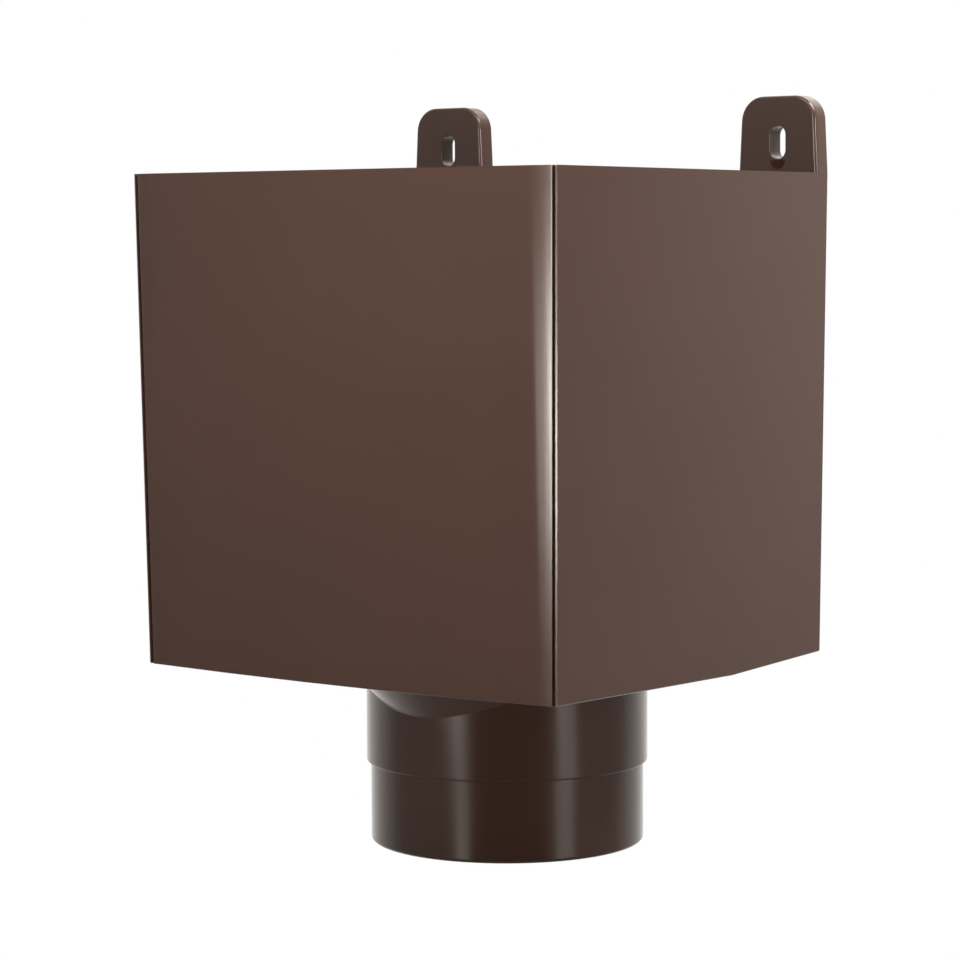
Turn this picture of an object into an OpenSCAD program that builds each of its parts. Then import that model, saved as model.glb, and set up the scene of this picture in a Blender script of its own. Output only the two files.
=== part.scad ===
// Downpipe hopper head: an open box that hangs on a wall by two slotted lugs and
// empties through a round outlet, whose spigot pushes into the downpipe below.
// The whole head is one moulding. Its frame: the spigot's end is at z = 0 around
// the origin, +Z is up, the wall is on the +Y side and the front faces -Y.

/* [Box] */
// Outside width at the rim
rim_w = 179.4; // [150:0.1:240]
// Depth at the rim, from the wall to the front
rim_d = 165.3; // [150:0.5:220]
// Height of the walls, from the lower corners to the rim
wall_h = 170; // [100:1:260]
// Thickness of the walls, the floor and the outlet
wall_t = 2.5; // [1.8:0.1:3.5]
// Lean of the side walls, in degrees from upright
side_draft = 0.77; // [0.2:0.01:3]
// Lean of the front wall, in degrees from upright
front_draft = 1.1; // [0.2:0.01:3]

/* [Front corners] */
// Width over which the front wall's foot rolls back towards each corner
roll_w = 9; // [3:0.5:16]
// Radius of that roll
roll_r = 35; // [32:1:80]
// Distance from each front corner to the groove that runs down beside it
groove_in = 0.6; // [0.4:0.1:2]
// Width of the groove
groove_w = 1.3; // [0.8:0.1:1.8]
// Depth of the groove
groove_d = 1.8; // [0.6:0.1:1.8]

/* [Floor] */
// Distance from the wall to the outlet's axis
outlet_y = 69.5; // [60:0.5:80]
// Fall of the front's lower edge, from its corners to its middle
edge_fall = 0.8; // [0.4:0.1:3]
// Fall of the sides' lower edges, from their ends to the floor's lowest line
floor_fall = 2; // [0.6:0.1:4]
// Distance that the floor's lowest line stands behind the outlet's axis
low_y = 12; // [0:1:20]
// Round on the lower edges of the front and sides
edge_r = 0.8; // [0.4:0.1:1.5]
// Distance that the funnel's axis stands in front of the outlet's axis
funnel_offset = 19; // [10:0.5:24]
// Slope of the funnel, in degrees from level
funnel_slope = 49; // [40:1:60]
// Depth of the funnel under the lower corners, where it meets the collar's front
funnel_depth = 16.5; // [12:0.5:24]

/* [Outlet] */
// Outside diameter of the collar, flush with the downpipe
collar_od = 100; // [90:0.5:110]
// Length of the collar, from its shoulder to the lower corners
collar_l = 37.5; // [30:0.5:70]
// Outside diameter of the spigot, a push fit in the downpipe
spigot_od = 97; // [80:0.5:98]
// Length of the spigot, from its end to the shoulder
spigot_l = 28.5; // [20:0.5:60]
// Round on the collar's shoulder
shoulder_r = 0.7; // [0.2:0.1:1]
// Round on the spigot's outer edge at its end
spigot_r = 1.4; // [0.4:0.1:1.6]

/* [Lugs] */
// Width of a lug at the rim
lug_w = 32.5; // [26:0.5:50]
// Height of a lug above the rim
lug_h = 27.2; // [24:0.1:45]
// Thickness of a lug, out from the wall
lug_t = 7.2; // [5:0.1:10]
// Depth that a lug's root reaches below the rim, inside the box
lug_root = 10; // [4:0.5:30]
// Taper of a lug's sides, in degrees from upright
lug_taper = 2; // [0:0.5:4]
// Radius of a lug's top corners
lug_corner = 8.8; // [4:0.1:10]
// Round on a lug's front edges
lug_edge = 1.2; // [0.5:0.1:2.5]
// Width of the screw slot
slot_w = 6.4; // [4:0.1:9]
// Length of the screw slot, end to end
slot_l = 11.7; // [10:0.1:16]
// Height of the slot's middle above the rim
slot_z = 10.9; // [9.5:0.1:14]
// Land between the slot and the shallow recess below it, on the lug's face
recess_land = 0.3; // [0.2:0.1:1]
// Height of that recess
recess_h = 3; // [1:0.1:3]
// Lean of the recess, which is deepest at its foot, in degrees from the lug's face
recess_lean = 20; // [8:1:28]

/* [Hidden] */
$fn = 128;

brown = "#4d3a32";
// Overlap that carries cuts past the faces they leave
over = 1;
// Long enough to pass through the box in any direction
span = 2 * (rim_w + rim_d + wall_h);

// Heights, from the spigot's end
shoulder_z = spigot_l;
corner_z = shoulder_z + collar_l;
rim_z = corner_z + wall_h;
floor_low_z = corner_z - edge_fall - floor_fall;

// The wall face, and the foot of the front and side walls
wall_y = outlet_y;
foot_y = wall_y - rim_d + wall_h * tan(front_draft);
foot_half_w = rim_w / 2 - wall_h * tan(side_draft);

// How far the front has turned where its foot meets the corners
roll_turn = asin(roll_w / roll_r);

// Floor: the arc of the front's lower edge, and the falls from front and back
edge_arc_r = (foot_half_w * foot_half_w + edge_fall * edge_fall) / (2 * edge_fall);
edge_arc_fn = 1440;
// An edge's round meets the faces that it joins at this angle, and flares on past them
edge_ease = 15;
eased_r = edge_r * cos(edge_ease);
flare = span * tan(edge_ease);
front_fall = atan(floor_fall / (low_y - foot_y));
back_fall = atan(floor_fall / (wall_y - low_y));

// Outlet: outer and inner radii
collar_r = collar_od / 2;
spigot_or = spigot_od / 2;
collar_bore_r = collar_r - wall_t;
spigot_bore_r = spigot_or - wall_t;

// Funnel: where its outside meets the collar's front, and its wall measured upright
funnel_meet_r = collar_r - funnel_offset;
funnel_meet_z = corner_z - funnel_depth;
funnel_wall_z = wall_t / cos(funnel_slope);

// Lugs: the middle of each from the head's middle
lug_x = rim_w / 2 - lug_w / 2;

// At a height: half the outside width, the front wall's flat part, how far the front has rolled
// back at its corners, and the corner on one side
function half_w(z) = rim_w / 2 - (rim_z - z) * tan(side_draft);
function front_y(z) = foot_y - (z - corner_z) * tan(front_draft);
function roll_back(z) = roll_r - sqrt(pow(roll_r, 2) - pow(roll_w + half_w(z) - foot_half_w, 2));
function front_corner(side, z) = [side * half_w(z), front_y(z) + roll_back(z), z];

// Points of a round about a centre, from one angle to another
function round_points(centre, r, from, to, steps = 6) =
    [for (i = [0:steps]) let(a = from + (to - from) * i / steps) centre + r * [cos(a), sin(a)]];

// A point on the other side of the middle
function mirrored(point) = [-point[0], point[1]];

// Plan of the front wall and all behind it: flat in the middle, rolled back at both ends
module front_plan(inset) {
    flat_half = foot_half_w - roll_w;
    translate([-flat_half, inset])
        square([2 * flat_half, span]);
    for (side = [-1, 1])
        translate([side * flat_half, roll_r])
            circle(r = roll_r - inset);
    translate([-span / 2, roll_r])
        square([span, span]);
}

// Puts what follows on the floor's lowest point, level with one of the floor's falls
module on_fall(inset, tilt) {
    translate([0, low_y, floor_low_z + inset])
        rotate([tilt, 0, 0])
            children();
}

// Everything above a floor arched from side to side. A front is where the front wall stands on
// it: there its edge is rounded, and flares clear of the wall.
module arched_floor(front) {
    translate([0, 0, edge_arc_r])
        rotate([-90, 0, 0])
            rotate_extrude($fn = edge_arc_fn)
                polygon(concat(
                    [[0, front - flare], [edge_arc_r - span, front - flare]],
                    round_points([edge_arc_r - edge_r, front + eased_r], edge_r, edge_ease - 90, 0),
                    [[edge_arc_r, span], [0, span]]
                ));
}

// Everything between the rounded lower edges of the sides, a half width from the middle
module edge_rounds(half) {
    edge_rise = edge_arc_r - sqrt(pow(edge_arc_r, 2) - pow(half, 2));
    right = round_points([half - eased_r, edge_rise + eased_r], edge_r, edge_ease - 90, -edge_ease);
    left = [for (i = [1:len(right)]) mirrored(right[len(right) - i])];
    rotate([90, 0, 0])
        linear_extrude(height = 2 * span, center = true)
            polygon(concat(
                [[0, -half * tan(edge_ease)]],
                right,
                [[half + flare, span], [-half - flare, span]],
                left
            ));
}

// The box as a solid block, with its faces moved in by an inset and its top at a height
module block(inset, top) {
    foot = floor_low_z - over;
    intersection() {
        translate([0, foot_y, corner_z])
            rotate([front_draft, 0, 0])
                translate([0, 0, -span / 2])
                    linear_extrude(height = span)
                        front_plan(inset);
        translate([0, wall_y - inset, 0])
            rotate([90, 0, 0])
                linear_extrude(height = span)
                    polygon([
                        [inset - half_w(foot), foot],
                        [half_w(foot) - inset, foot],
                        [half_w(top) - inset, top],
                        [inset - half_w(top), top]
                    ]);
        on_fall(inset, -front_fall)
            arched_floor((foot_y + inset - low_y) / cos(front_fall));
        on_fall(inset, -front_fall)
            edge_rounds(foot_half_w - inset);
        on_fall(inset, back_fall)
            arched_floor(-span);
        on_fall(inset, back_fall)
            edge_rounds(foot_half_w - inset);
    }
}

// Cut for the groove that runs down the front beside a corner, square to the rolled face
module corner_groove(side) {
    low = front_corner(side, floor_low_z - over);
    run = front_corner(side, rim_z + over) - low;
    translate(low)
        rotate([-asin(run[1] / norm(run)), atan(run[0] / run[2]), 0])
            rotate([0, 0, side * roll_turn])
                translate([-side * (groove_in + groove_w / 2) - groove_w / 2, -2 * over, 0])
                    cube([groove_w, 2 * over + groove_d, norm(run)]);
}

// Cone on the funnel's axis from its point up to a height, raised by a wall's thickness inside
module funnel_cone(raise, top) {
    point_z = funnel_meet_z + raise - funnel_meet_r * tan(funnel_slope);
    translate([0, -funnel_offset, point_z])
        cylinder(r1 = 0, r2 = (top - point_z) / tan(funnel_slope), h = top - point_z);
}

// Collar and spigot, turned from one half section and still solid
module outlet_body() {
    rotate_extrude()
        polygon(concat(
            [[0, 0]],
            round_points([spigot_or - spigot_r, spigot_r], spigot_r, -90, 0),
            [[spigot_or, shoulder_z]],
            round_points([collar_r - shoulder_r, shoulder_z + shoulder_r], shoulder_r, -90, 0),
            [[collar_r, corner_z], [0, corner_z]]
        ));
}

// Passage through the outlet: narrow in the spigot, wide in the collar, coned between
module outlet_bore() {
    neck = collar_bore_r - spigot_bore_r;
    translate([0, 0, -over])
        cylinder(r = spigot_bore_r, h = shoulder_z + 2 * over);
    translate([0, 0, shoulder_z])
        cylinder(r1 = spigot_bore_r, r2 = collar_bore_r, h = neck);
    translate([0, 0, shoulder_z + neck])
        cylinder(r = collar_bore_r, h = corner_z + wall_t - shoulder_z - neck);
}

// Inside of the box, less the roots that carry the lugs
module cavity() {
    difference() {
        block(wall_t, rim_z + over);
        for (side = [-1, 1])
            translate([side * lug_x - lug_w / 2, wall_y, rim_z])
                rotate([90, 0, 90])
                    linear_extrude(height = lug_w)
                        polygon([
                            [0, -lug_root - lug_t],
                            [-lug_t, -lug_root],
                            [-lug_t, 2 * over],
                            [0, 2 * over]
                        ]);
    }
}

// Outline of a lug seen from the front, with its edge moved in by an inset. Its foot narrows as it
// goes down into the root.
module lug_outline(inset) {
    foot_half = lug_w / 2 - inset;
    top_half = lug_w / 2 - lug_h * tan(lug_taper);
    corner = [top_half - lug_corner, lug_h - lug_corner];
    polygon(concat(
        [[over - foot_half, -over], [foot_half - over, -over], [foot_half, 0]],
        round_points(corner, lug_corner - inset, lug_taper, 90, 10),
        round_points(mirrored(corner), lug_corner - inset, 90, 180 - lug_taper, 10),
        [[-foot_half, 0]]
    ));
}

// A lug standing on the rim, flat on the wall and rounded along its front edges
module lug() {
    hull()
        for (a = [0:22.5:90])
            translate([0, wall_y, rim_z])
                rotate([90, 0, 0])
                    linear_extrude(height = lug_t - lug_edge * (1 - sin(a)))
                        lug_outline(lug_edge * (1 - cos(a)));
}

// Cut for the upright round-ended slot through a lug
module slot() {
    half = (slot_l - slot_w) / 2;
    translate([0, wall_y + over, rim_z + slot_z]) {
        rotate([90, 0, 0])
            for (z = [-half, half])
                translate([0, z, 0])
                    cylinder(d = slot_w, h = lug_t + 2 * over);
        translate([-slot_w / 2, -lug_t - 2 * over, -half])
            cube([slot_w, lug_t + 2 * over, 2 * half]);
    }
}

// Cut for the recess below a slot, whose floor leans in from its top to its foot
module recess() {
    translate([0, wall_y - lug_t, rim_z + slot_z - slot_l / 2 - recess_land])
        rotate([90 + recess_lean, 0, 0])
            translate([0, slot_w / 2 - recess_h / cos(recess_lean), 0])
                cylinder(d = slot_w, h = 2 * over);
}

module hopper_head() {
    color(brown)
        difference() {
            union() {
                difference() {
                    union() {
                        block(0, rim_z);
                        outlet_body();
                        funnel_cone(0, corner_z);
                    }
                    cavity();
                    outlet_bore();
                    funnel_cone(funnel_wall_z, corner_z + 2 * wall_t);
                }
                for (side = [-1, 1])
                    translate([side * lug_x, 0, 0])
                        lug();
            }
            for (side = [-1, 1]) {
                corner_groove(side);
                translate([side * lug_x, 0, 0]) {
                    slot();
                    recess();
                }
            }
        }
}

hopper_head();
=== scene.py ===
import math

import bmesh
import bpy
from mathutils import Matrix, Vector


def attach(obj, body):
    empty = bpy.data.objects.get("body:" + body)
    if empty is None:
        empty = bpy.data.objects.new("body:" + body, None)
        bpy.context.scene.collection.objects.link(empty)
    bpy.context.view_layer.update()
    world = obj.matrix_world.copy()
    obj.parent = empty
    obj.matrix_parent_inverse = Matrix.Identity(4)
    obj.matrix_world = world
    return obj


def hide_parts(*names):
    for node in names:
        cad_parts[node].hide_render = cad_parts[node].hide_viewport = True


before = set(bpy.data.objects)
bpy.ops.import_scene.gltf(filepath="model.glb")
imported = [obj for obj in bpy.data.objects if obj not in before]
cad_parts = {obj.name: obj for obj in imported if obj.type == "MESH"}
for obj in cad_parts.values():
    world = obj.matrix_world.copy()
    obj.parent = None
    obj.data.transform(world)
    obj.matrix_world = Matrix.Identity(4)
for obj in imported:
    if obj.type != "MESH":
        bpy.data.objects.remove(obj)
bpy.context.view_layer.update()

MM = 0.001

# The camera, as fitted to the photograph's edges: its place in the part's frame, its bearing, dip
# and roll in degrees, and its focal length in pixels of the frame
FRAME_PX = 960
FOCAL_PX = 3049.6
SENSOR_MM = 36.0
EYE_MM = (641.6, -866.0, 212.5)
CAMERA_BEARING = 37.03
CAMERA_DOWN = 4.48
CAMERA_ROLL = 0.215

# The room's light, as degrees from the camera's side and light: from level upwards, and low down.
# The two blend between level and this many degrees below it.
ROOM_LEVEL = ((180, 1.3), (150, 1.1), (114, 1.0), (106, 0.3), (76, 0.55), (65, 0.6), (27, 0.05))
ROOM_LOW = ((180, 1.3), (150, 1.1), (118, 0.62), (100, 0.3), (76, 0.3), (65, 0.28), (27, 0.03))
LOW_BELOW = 11.0

# The lamps are a little warm, and the light that comes back from the room less so
LAMP_TINT = (1.0, 0.95, 0.88)
ROOM_TINT = (1.0, 0.97, 0.93)
NO_GRID = 180

# The floor: half its width in metres, and its grey
FLOOR_HALF = 6.0
FLOOR_GREY = "#787878"

# The plastic: its two shades, the range of its roughness, and the sizes of its mottle and grain
SHADE_DARK = "#422e25"
SHADE_LIGHT = "#473129"
ROUGHNESS_LOW = 0.165
ROUGHNESS_HIGH = 0.21
REFRACTION = 1.5
MOTTLE = 45 * MM
GRAIN = 0.9 * MM
GRAIN_DEPTH = 0.02 * MM
GRAIN_STRENGTH = 0.08

# Shading of the moulding: edges sharper than SHARP_EDGE stay crisp. So do all edges of the
# recesses under the slots, whose floors lean by RECESS_LEAN. Faces within COPLANAR become one,
# and so do vertices closer than WELD.
SHARP_EDGE = math.radians(32)
RECESS_LEAN = math.radians(20)
FLAT = math.radians(2)
COPLANAR = math.radians(0.05)
WELD = 0.002 * MM

# Small breaks that catch the light: a flat on the inner edge of each groove, and a round on the
# slots' edges in the lugs' faces. The recesses' edges lie below the slots' foot and stay sharp.
GROOVE_FLAT = 0.3 * MM
SLOT_ROUND = 0.25 * MM
LUG_FACE_Y = 62.3 * MM
SLOT_FOOT_Z = 240.9 * MM

# A groove's edge: the least share of its length that is upright, and the least parts of the
# normal of the wall beside it that point outwards and back
UPRIGHT = 0.99
WALL_OUT = 0.9
WALL_BACK = 0.1


def linear(hex_colour):
    """A colour written as sRGB hex, as the linear colour that a shader takes."""
    values = [int(hex_colour[i : i + 2], 16) / 255 for i in (1, 3, 5)]
    curved = [v / 12.92 if v <= 0.04045 else ((v + 0.055) / 1.055) ** 2.4 for v in values]
    return (*curved, 1.0)


def add_node(tree, kind, settings=None, **inputs):
    """A new node with its settings, and its inputs set to values or linked from sockets."""
    node = tree.nodes.new(kind)
    for name, value in (settings or {}).items():
        setattr(node, name, value)
    for name, value in inputs.items():
        socket = node.inputs[name.replace("_", " ")]
        if isinstance(value, bpy.types.NodeSocket):
            tree.links.new(value, socket)
        else:
            socket.default_value = value
    return node


def new_material(name):
    """An empty node material, its tree and its output node."""
    material = bpy.data.materials.new(name)
    material.use_nodes = True
    tree = material.node_tree
    tree.nodes.clear()
    return material, tree, tree.nodes.new("ShaderNodeOutputMaterial")


def add_object(name, data):
    """A new object in the scene."""
    made = bpy.data.objects.new(name, data)
    bpy.context.scene.collection.objects.link(made)
    return made


def brown_pvc():
    """Glossy brown plastic as it leaves the mould: faintly uneven, with a fine grain."""
    material, tree, output = new_material("brown_pvc")
    place = add_node(tree, "ShaderNodeTexCoord").outputs["Object"]
    mottle = add_node(
        tree, "ShaderNodeTexNoise", Vector=place, Scale=1 / MOTTLE, Detail=3.0, Roughness=0.55
    ).outputs["Fac"]
    colour = add_node(tree, "ShaderNodeMix", {"data_type": "RGBA"}, Factor=mottle)
    colour.inputs["A"].default_value = linear(SHADE_DARK)
    colour.inputs["B"].default_value = linear(SHADE_LIGHT)
    grain = add_node(
        tree, "ShaderNodeTexNoise", Vector=place, Scale=1 / GRAIN, Detail=2.0, Roughness=0.5
    ).outputs["Fac"]
    gloss = add_node(
        tree,
        "ShaderNodeMapRange",
        Value=mottle,
        From_Min=0.3,
        From_Max=0.7,
        To_Min=ROUGHNESS_LOW,
        To_Max=ROUGHNESS_HIGH,
    ).outputs["Result"]
    bump = add_node(
        tree, "ShaderNodeBump", Strength=GRAIN_STRENGTH, Distance=GRAIN_DEPTH, Height=grain
    ).outputs["Normal"]
    shader = add_node(
        tree,
        "ShaderNodeBsdfPrincipled",
        Base_Color=colour.outputs["Result"],
        Roughness=gloss,
        IOR=REFRACTION,
        Normal=bump,
    )
    tree.links.new(shader.outputs["BSDF"], output.inputs["Surface"])
    return material


def on_groove(edge):
    """Whether a sharp edge is the inner one of a groove in the front."""
    one, two = (vertex.co for vertex in edge.verts)
    outward = math.copysign(1, one.x)
    upright = abs(two.z - one.z) > UPRIGHT * (two - one).length
    beside_wall = any(
        face.normal.x * outward > WALL_OUT and face.normal.y > WALL_BACK
        for face in edge.link_faces
    )
    return upright and one.y < 0 and beside_wall


def on_slot(edge):
    """Whether a sharp edge goes round a slot in a lug's face."""
    return all(
        abs(vertex.co.y - LUG_FACE_Y) < WELD and vertex.co.z > SLOT_FOOT_Z for vertex in edge.verts
    )


def break_edges(work):
    """Takes the sharpness off the grooves' inner edges and the slots' front edges."""
    sharp = [
        edge
        for edge in work.edges
        if len(edge.link_faces) == 2 and edge.is_convex and edge.calc_face_angle() >= SHARP_EDGE
    ]
    grooves = [edge for edge in sharp if on_groove(edge)]
    slots = [edge for edge in sharp if on_slot(edge)]
    for edges, width, steps in ((grooves, GROOVE_FLAT, 1), (slots, SLOT_ROUND, 2)):
        bmesh.ops.bevel(
            work,
            geom=edges,
            affect="EDGES",
            offset=width,
            segments=steps,
            profile=0.5,
            clamp_overlap=True,
        )


def moulding(node):
    """A copy of the solid's mesh with its triangles joined, smooth but for its sharp edges."""
    mesh = node.data.copy()
    mesh.name = "moulded_head"
    work = bmesh.new()
    work.from_mesh(mesh)
    bmesh.ops.remove_doubles(work, verts=work.verts, dist=WELD)
    bmesh.ops.dissolve_limit(work, angle_limit=COPLANAR, verts=work.verts, edges=work.edges)
    break_edges(work)
    bmesh.ops.dissolve_degenerate(work, dist=WELD, edges=work.edges)
    work.normal_update()
    for face in work.faces:
        face.smooth = True
    recess = Vector((0, -math.cos(RECESS_LEAN), math.sin(RECESS_LEAN)))
    for edge in work.edges:
        leaning = any(face.normal.dot(recess) > math.cos(FLAT) for face in edge.link_faces)
        limit = FLAT if leaning else SHARP_EDGE
        edge.smooth = len(edge.link_faces) == 2 and edge.calc_face_angle() < limit
    work.to_mesh(mesh)
    work.free()
    mesh.materials.clear()
    mesh.materials.append(brown_pvc())
    made = add_object("moulded_head", mesh)
    shading = made.modifiers.new("shading", "WEIGHTED_NORMAL")
    shading.keep_sharp = True
    return made


def floor():
    """A wide pale floor under the spigot, white to the camera and not seen in reflections."""
    mesh = bpy.data.meshes.new("floor")
    corners = [(-1, -1), (1, -1), (1, 1), (-1, 1)]
    mesh.from_pydata([(x * FLOOR_HALF, y * FLOOR_HALF, 0) for x, y in corners], [], [(0, 1, 2, 3)])
    material, tree, output = new_material("pale_floor")
    rays = add_node(tree, "ShaderNodeLightPath")
    matt = add_node(tree, "ShaderNodeBsdfDiffuse", Color=linear(FLOOR_GREY))
    white = add_node(tree, "ShaderNodeEmission", Strength=1.0)
    seen = add_node(tree, "ShaderNodeMixShader", Fac=rays.outputs["Is Camera Ray"])
    tree.links.new(matt.outputs["BSDF"], seen.inputs[1])
    tree.links.new(white.outputs["Emission"], seen.inputs[2])
    tree.links.new(seen.outputs["Shader"], output.inputs["Surface"])
    mesh.materials.append(material)
    made = add_object("floor", mesh)
    made.visible_glossy = False


def by_angle(tree, stops, cosine):
    """The room's light by an angle, from stops of degrees and light and the angle's cosine."""
    ramp = add_node(tree, "ShaderNodeValToRGB")
    half = add_node(tree, "ShaderNodeMapRange", Value=cosine, From_Min=-1.0, From_Max=1.0)
    tree.links.new(half.outputs["Result"], ramp.inputs["Fac"])
    while len(ramp.color_ramp.elements) < len(stops):
        ramp.color_ramp.elements.new(0.5)
    for stop, (angle, light) in zip(ramp.color_ramp.elements, stops):
        stop.position = (1 + math.cos(math.radians(angle))) / 2
        stop.color = (*(light * part for part in ROOM_TINT), 1.0)
    return ramp.outputs["Color"]


def surroundings():
    """The studio: dark behind the camera, brightening round to a white sweep behind the part."""
    world = bpy.data.worlds.new("studio")
    world.use_nodes = True
    bpy.context.scene.world = world
    tree = world.node_tree
    tree.nodes.clear()
    output = tree.nodes.new("ShaderNodeOutputWorld")
    way = add_node(tree, "ShaderNodeTexCoord").outputs["Generated"]
    towards = add_node(tree, "ShaderNodeVectorMath", {"operation": "DOT_PRODUCT"})
    tree.links.new(way, towards.inputs[0])
    towards.inputs[1].default_value = around(CAMERA_BEARING, 1.0, 0.0)
    height = add_node(tree, "ShaderNodeSeparateXYZ", Vector=way).outputs["Z"]
    lowest = -math.sin(math.radians(LOW_BELOW))
    level = add_node(
        tree, "ShaderNodeMapRange", Value=height, From_Min=lowest, From_Max=0.0
    ).outputs["Result"]
    room = add_node(tree, "ShaderNodeMix", {"data_type": "RGBA"}, Factor=level)
    tree.links.new(by_angle(tree, ROOM_LOW, towards.outputs["Value"]), room.inputs["A"])
    tree.links.new(by_angle(tree, ROOM_LEVEL, towards.outputs["Value"]), room.inputs["B"])
    rays = add_node(tree, "ShaderNodeLightPath")
    soft = add_node(tree, "ShaderNodeBackground", Color=room.outputs["Result"], Strength=1.0)
    white = add_node(tree, "ShaderNodeBackground", Color=(1.0, 1.0, 1.0, 1.0), Strength=1.0)
    seen = add_node(tree, "ShaderNodeMixShader", Fac=rays.outputs["Is Camera Ray"])
    tree.links.new(soft.outputs["Background"], seen.inputs[1])
    tree.links.new(white.outputs["Background"], seen.inputs[2])
    tree.links.new(seen.outputs["Shader"], output.inputs["Surface"])


def around(bearing, distance, height):
    """A point round the outlet's axis. Bearing 0 is in front of the part, and 90 on its right."""
    angle = math.radians(bearing)
    return Vector((math.sin(angle) * distance, -math.cos(angle) * distance, height))


def on_axis(height):
    """A point on the outlet's axis."""
    return Vector((0, 0, height))


def softbox(name, place, target, width, tall, light, spread=NO_GRID):
    """A soft rectangular light of a given brightness that looks at a target."""
    lamp = bpy.data.lights.new(name, "AREA")
    lamp.shape = "RECTANGLE"
    lamp.size = width
    lamp.size_y = tall
    lamp.energy = light * math.pi * width * tall
    lamp.color = LAMP_TINT
    lamp.spread = math.radians(spread)
    turn = (target - place).to_track_quat("-Z", "Y")
    made = add_object(name, lamp)
    made.matrix_world = Matrix.Translation(place) @ turn.to_matrix().to_4x4()


def camera():
    """The photograph's camera."""
    bearing, down, roll = (math.radians(a) for a in (CAMERA_BEARING, CAMERA_DOWN, CAMERA_ROLL))
    ahead = Vector(
        (-math.sin(bearing) * math.cos(down), math.cos(bearing) * math.cos(down), -math.sin(down))
    )
    level = Vector((math.cos(bearing), math.sin(bearing), 0))
    below = ahead.cross(level)
    right = level * math.cos(roll) + below * math.sin(roll)
    up = level * math.sin(roll) - below * math.cos(roll)
    axes = Matrix((right, up, -ahead)).transposed().to_4x4()
    data = bpy.data.cameras.new("camera")
    data.sensor_width = SENSOR_MM
    data.lens = SENSOR_MM * FOCAL_PX / FRAME_PX
    made = add_object("camera", data)
    made.matrix_world = Matrix.Translation(Vector(EYE_MM) * MM) @ axes
    bpy.context.scene.camera = made


head = moulding(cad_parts["hopper_head"])
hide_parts("hopper_head")
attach(head, "root")

floor()
surroundings()

# The lamps: name, place, target, width, height and brightness, and the spread in degrees of a
# lamp with a grid. The strips reach below the floor, which reflections don't see, because the
# outlet shows what lies low.
MIDDLE = on_axis(0.15)
LAMPS = (
    ("strip_left", around(-0.8, 1.3, -0.35), on_axis(-0.35), 0.26, 0.3, 2.1),
    ("key_left", around(-3.3, 1.25, 0.05), on_axis(0.17), 0.21, 0.15, 1.3, 30),
    ("glow_left", around(-13.0, 1.27, 0.05), on_axis(0.05), 0.3, 0.18, 4.0),
    ("high_left", around(0.5, 1.25, 0.33), on_axis(0.26), 0.16, 0.1, 1.05, 24),
    ("strip_right", around(85.0, 1.3, -0.05), on_axis(-0.05), 0.36, 0.9, 1.45),
    ("key_right", around(79.5, 1.25, 0.09), on_axis(0.09), 0.12, 0.26, 26.0),
    ("high_right", around(86.0, 1.25, 0.42), on_axis(0.26), 0.2, 0.1, 1.0, 24),
    ("front_fill", Vector((0.1, -0.25, 0.52)), Vector((0.1, -0.249, 0.0)), 0.3, 0.2, 7.2, 110),
    ("front_high", around(37.0, 1.0, 0.8), on_axis(0.05), 0.9, 0.6, 1.25),
    ("side_fill", Vector((0.42, 0.24, 0.68)), Vector((0.2, 0.22, 0.1)), 0.3, 0.3, 9.2, 100),
    ("back_high", Vector((-0.05, 1.1, 0.85)), MIDDLE, 0.7, 0.5, 1.1),
    ("overhead", Vector((0.15, -0.1, 1.3)), MIDDLE, 1.0, 1.0, 1.0),
)
for lamp in LAMPS:
    softbox(*lamp)
camera()

bpy.context.scene.view_settings.view_transform = "Standard"
